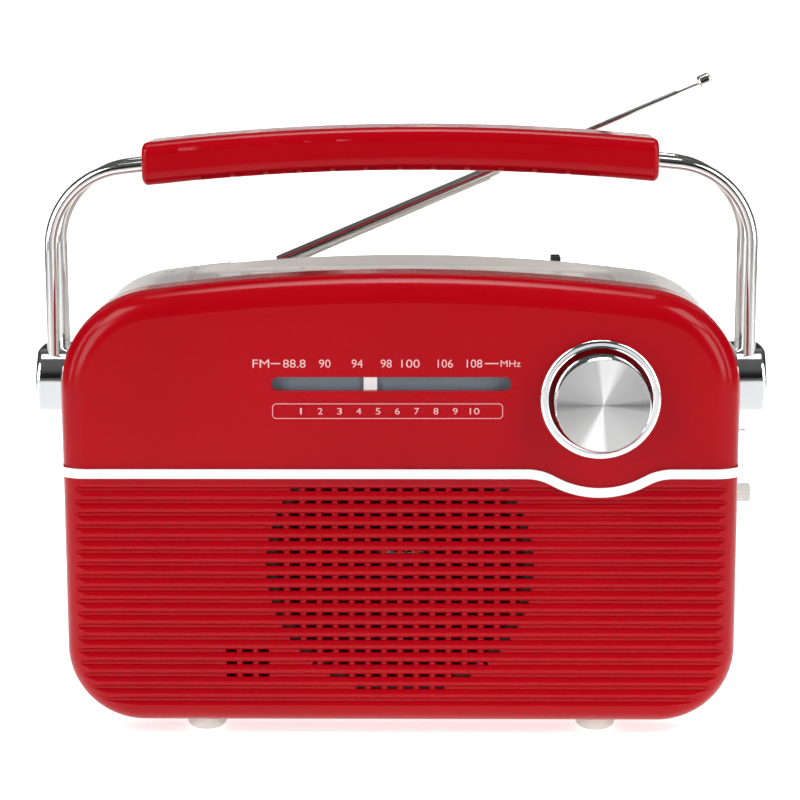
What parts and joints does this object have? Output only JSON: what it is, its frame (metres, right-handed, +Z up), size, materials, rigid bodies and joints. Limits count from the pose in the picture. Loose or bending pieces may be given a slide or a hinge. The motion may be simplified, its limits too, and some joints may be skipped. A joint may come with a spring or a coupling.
{
  "type": "portable radio",
  "caption": "Portable radio with a ribbed red front, white back, swing-over wire handle with a grip, tuning knob, slide-rule scale, round speaker grille and a telescopic aerial.",
  "frame": {"origin": "on the table under the middle of the overall box, feet at Z 0", "axes": "+X to the right seen from the front, the front with the knob faces -Y, +Z up"},
  "size_m": [0.2728, 0.094, 0.2385],
  "materials": {
    "red_plastic": "glossy deep red moulded plastic",
    "chrome": "bright chrome plate",
    "spun_aluminium": "spun face, fine circular lines",
    "ivory_plastic": "satin ivory white moulded plastic",
    "pale_rubber": "matt pale rubber",
    "steel": "plain zinc-plated steel",
    "aluminium_can": "dull can",
    "brass": "plain brass",
    "dark_plastic": "matt black moulded plastic",
    "cord": "waxed thread",
    "cone_paper": "pressed dark paper",
    "fibre": "hard fibre washer",
    "scale_plate": "matt grey-blue",
    "white_plastic": "white moulded plastic",
    "board": "brown laminate board",
    "cell_jacket": "plain painted cell jacket"
  },
  "bodies": {
    "case": {"front_shell": "red_plastic", "trim_strip": "chrome", "rear_shell": "ivory_plastic", "foot_front_left": "pale_rubber", "foot_front_right": "pale_rubber", "foot_rear_left": "pale_rubber", "foot_rear_right": "pale_rubber", "case_screws": "steel", "knob_ring": "chrome", "shaft_bushing": "brass", "pulley_pin": "steel", "dial_cord": "cord", "dial_plate": "scale_plate", "pointer_rail": "steel", "chassis_plate": "steel", "chassis_screws": "steel", "tuning_capacitor": "aluminium_can", "speaker_frame": "steel", "speaker_cone": "cone_paper", "speaker_dust_cap": "spun_aluminium", "speaker_magnet": "steel", "speaker_screws": "steel", "circuit_board": "board", "board_components": "dark_plastic", "board_screws": "steel", "power_transformer": "steel", "mains_inlet": "dark_plastic", "inlet_pins": "brass", "headphone_jack": "dark_plastic", "battery_box": "dark_plastic", "batteries": "cell_jacket", "battery_contacts": "steel", "volume_pot": "dark_plastic", "friction_washers": "fibre", "antenna_base": "chrome", "antenna_clip": "dark_plastic"},
    "tuning": {"tuning_shaft": "steel", "tuning_knob": "chrome", "knob_cap": "spun_aluminium", "cord_drum": "dark_plastic"},
    "pulley": {"idler_pulley": "dark_plastic"},
    "pointer": {"dial_pointer": "white_plastic"},
    "volume": {"volume_knob": "ivory_plastic"},
    "handle": {"hub_left": "chrome", "hub_right": "chrome", "hub_retainers": "steel", "hub_screws": "steel", "handle_rod_front": "chrome", "handle_rod_rear": "chrome", "grip": "red_plastic"},
    "battery_lid": {"battery_door": "ivory_plastic"},
    "aerial_swivel": {"antenna_knuckle": "chrome", "antenna_pin": "steel"},
    "aerial_tube_1": {"antenna_tube_1": "chrome"},
    "aerial_tube_2": {"antenna_tube_2": "chrome"},
    "aerial_tube_3": {"antenna_tube_3": "chrome"},
    "aerial_tube_4": {"antenna_tube_4": "chrome"},
    "aerial_tip": {"antenna_tube_5": "chrome", "antenna_cap": "chrome"}
  },
  "joints": [
    {"name": "handle_fold", "type": "hinge", "parent": "case", "child": "handle", "pos_m": [0, 0.007, 0.1237], "axis": [1, 0, 0], "range_deg": [-8, 100]},
    {"name": "tuning_turn", "type": "hinge", "parent": "case", "child": "tuning", "pos_m": [0.0714, -0.033, 0.1262], "axis": [0, 1, 0], "range_deg": [-75, 110]},
    {"name": "pointer_slide", "type": "slide", "parent": "case", "child": "pointer", "axis": [1, 0, 0], "range_m": [-0.0316, 0.0462]},
    {"name": "pulley_turn", "type": "hinge", "parent": "case", "child": "pulley", "pos_m": [-0.058, -0.016, 0.1442], "axis": [0, 1, 0], "range_deg": [-301, 441]},
    {"name": "volume_turn", "type": "hinge", "parent": "case", "child": "volume", "pos_m": [0.126, 0.001, 0.0849], "axis": [1, 0, 0], "range_deg": [0, 270]},
    {"name": "battery_lid_open", "type": "hinge", "parent": "case", "child": "battery_lid", "pos_m": [-0.041, 0.0459, 0.0135], "axis": [-1, 0, 0], "range_deg": [0, 95]},
    {"name": "antenna_swing", "type": "hinge", "parent": "case", "child": "aerial_swivel", "pos_m": [-0.054, 0.0425, 0.1635], "axis": [0, 1, 0], "range_deg": [-110, 23]},
    {"name": "antenna_tilt", "type": "hinge", "parent": "aerial_swivel", "child": "aerial_tube_1", "pos_m": [-0.054, 0.0425, 0.1635], "axis": [-0.3907, 0, 0.9205], "range_deg": [0, 90]},
    {"name": "antenna_slide_2", "type": "slide", "parent": "aerial_tube_1", "child": "aerial_tube_2", "axis": [0.9205, 0, 0.3907], "range_m": [0, 0.075]},
    {"name": "antenna_slide_3", "type": "slide", "parent": "aerial_tube_2", "child": "aerial_tube_3", "axis": [0.9205, 0, 0.3907], "range_m": [-0.018, 0.05]},
    {"name": "antenna_slide_4", "type": "slide", "parent": "aerial_tube_3", "child": "aerial_tube_4", "axis": [0.9205, 0, 0.3907], "range_m": [-0.048, 0.028]},
    {"name": "antenna_slide_5", "type": "slide", "parent": "aerial_tube_4", "child": "aerial_tip", "axis": [0.9205, 0, 0.3907], "range_m": [-0.0044, 0.07]}
  ],
  "couplings": [
    {"joint": "pointer_slide", "follows": "tuning_turn", "m_per_rad": 0.024},
    {"joint": "pulley_turn", "follows": "tuning_turn", "ratio": 4}
  ]
}
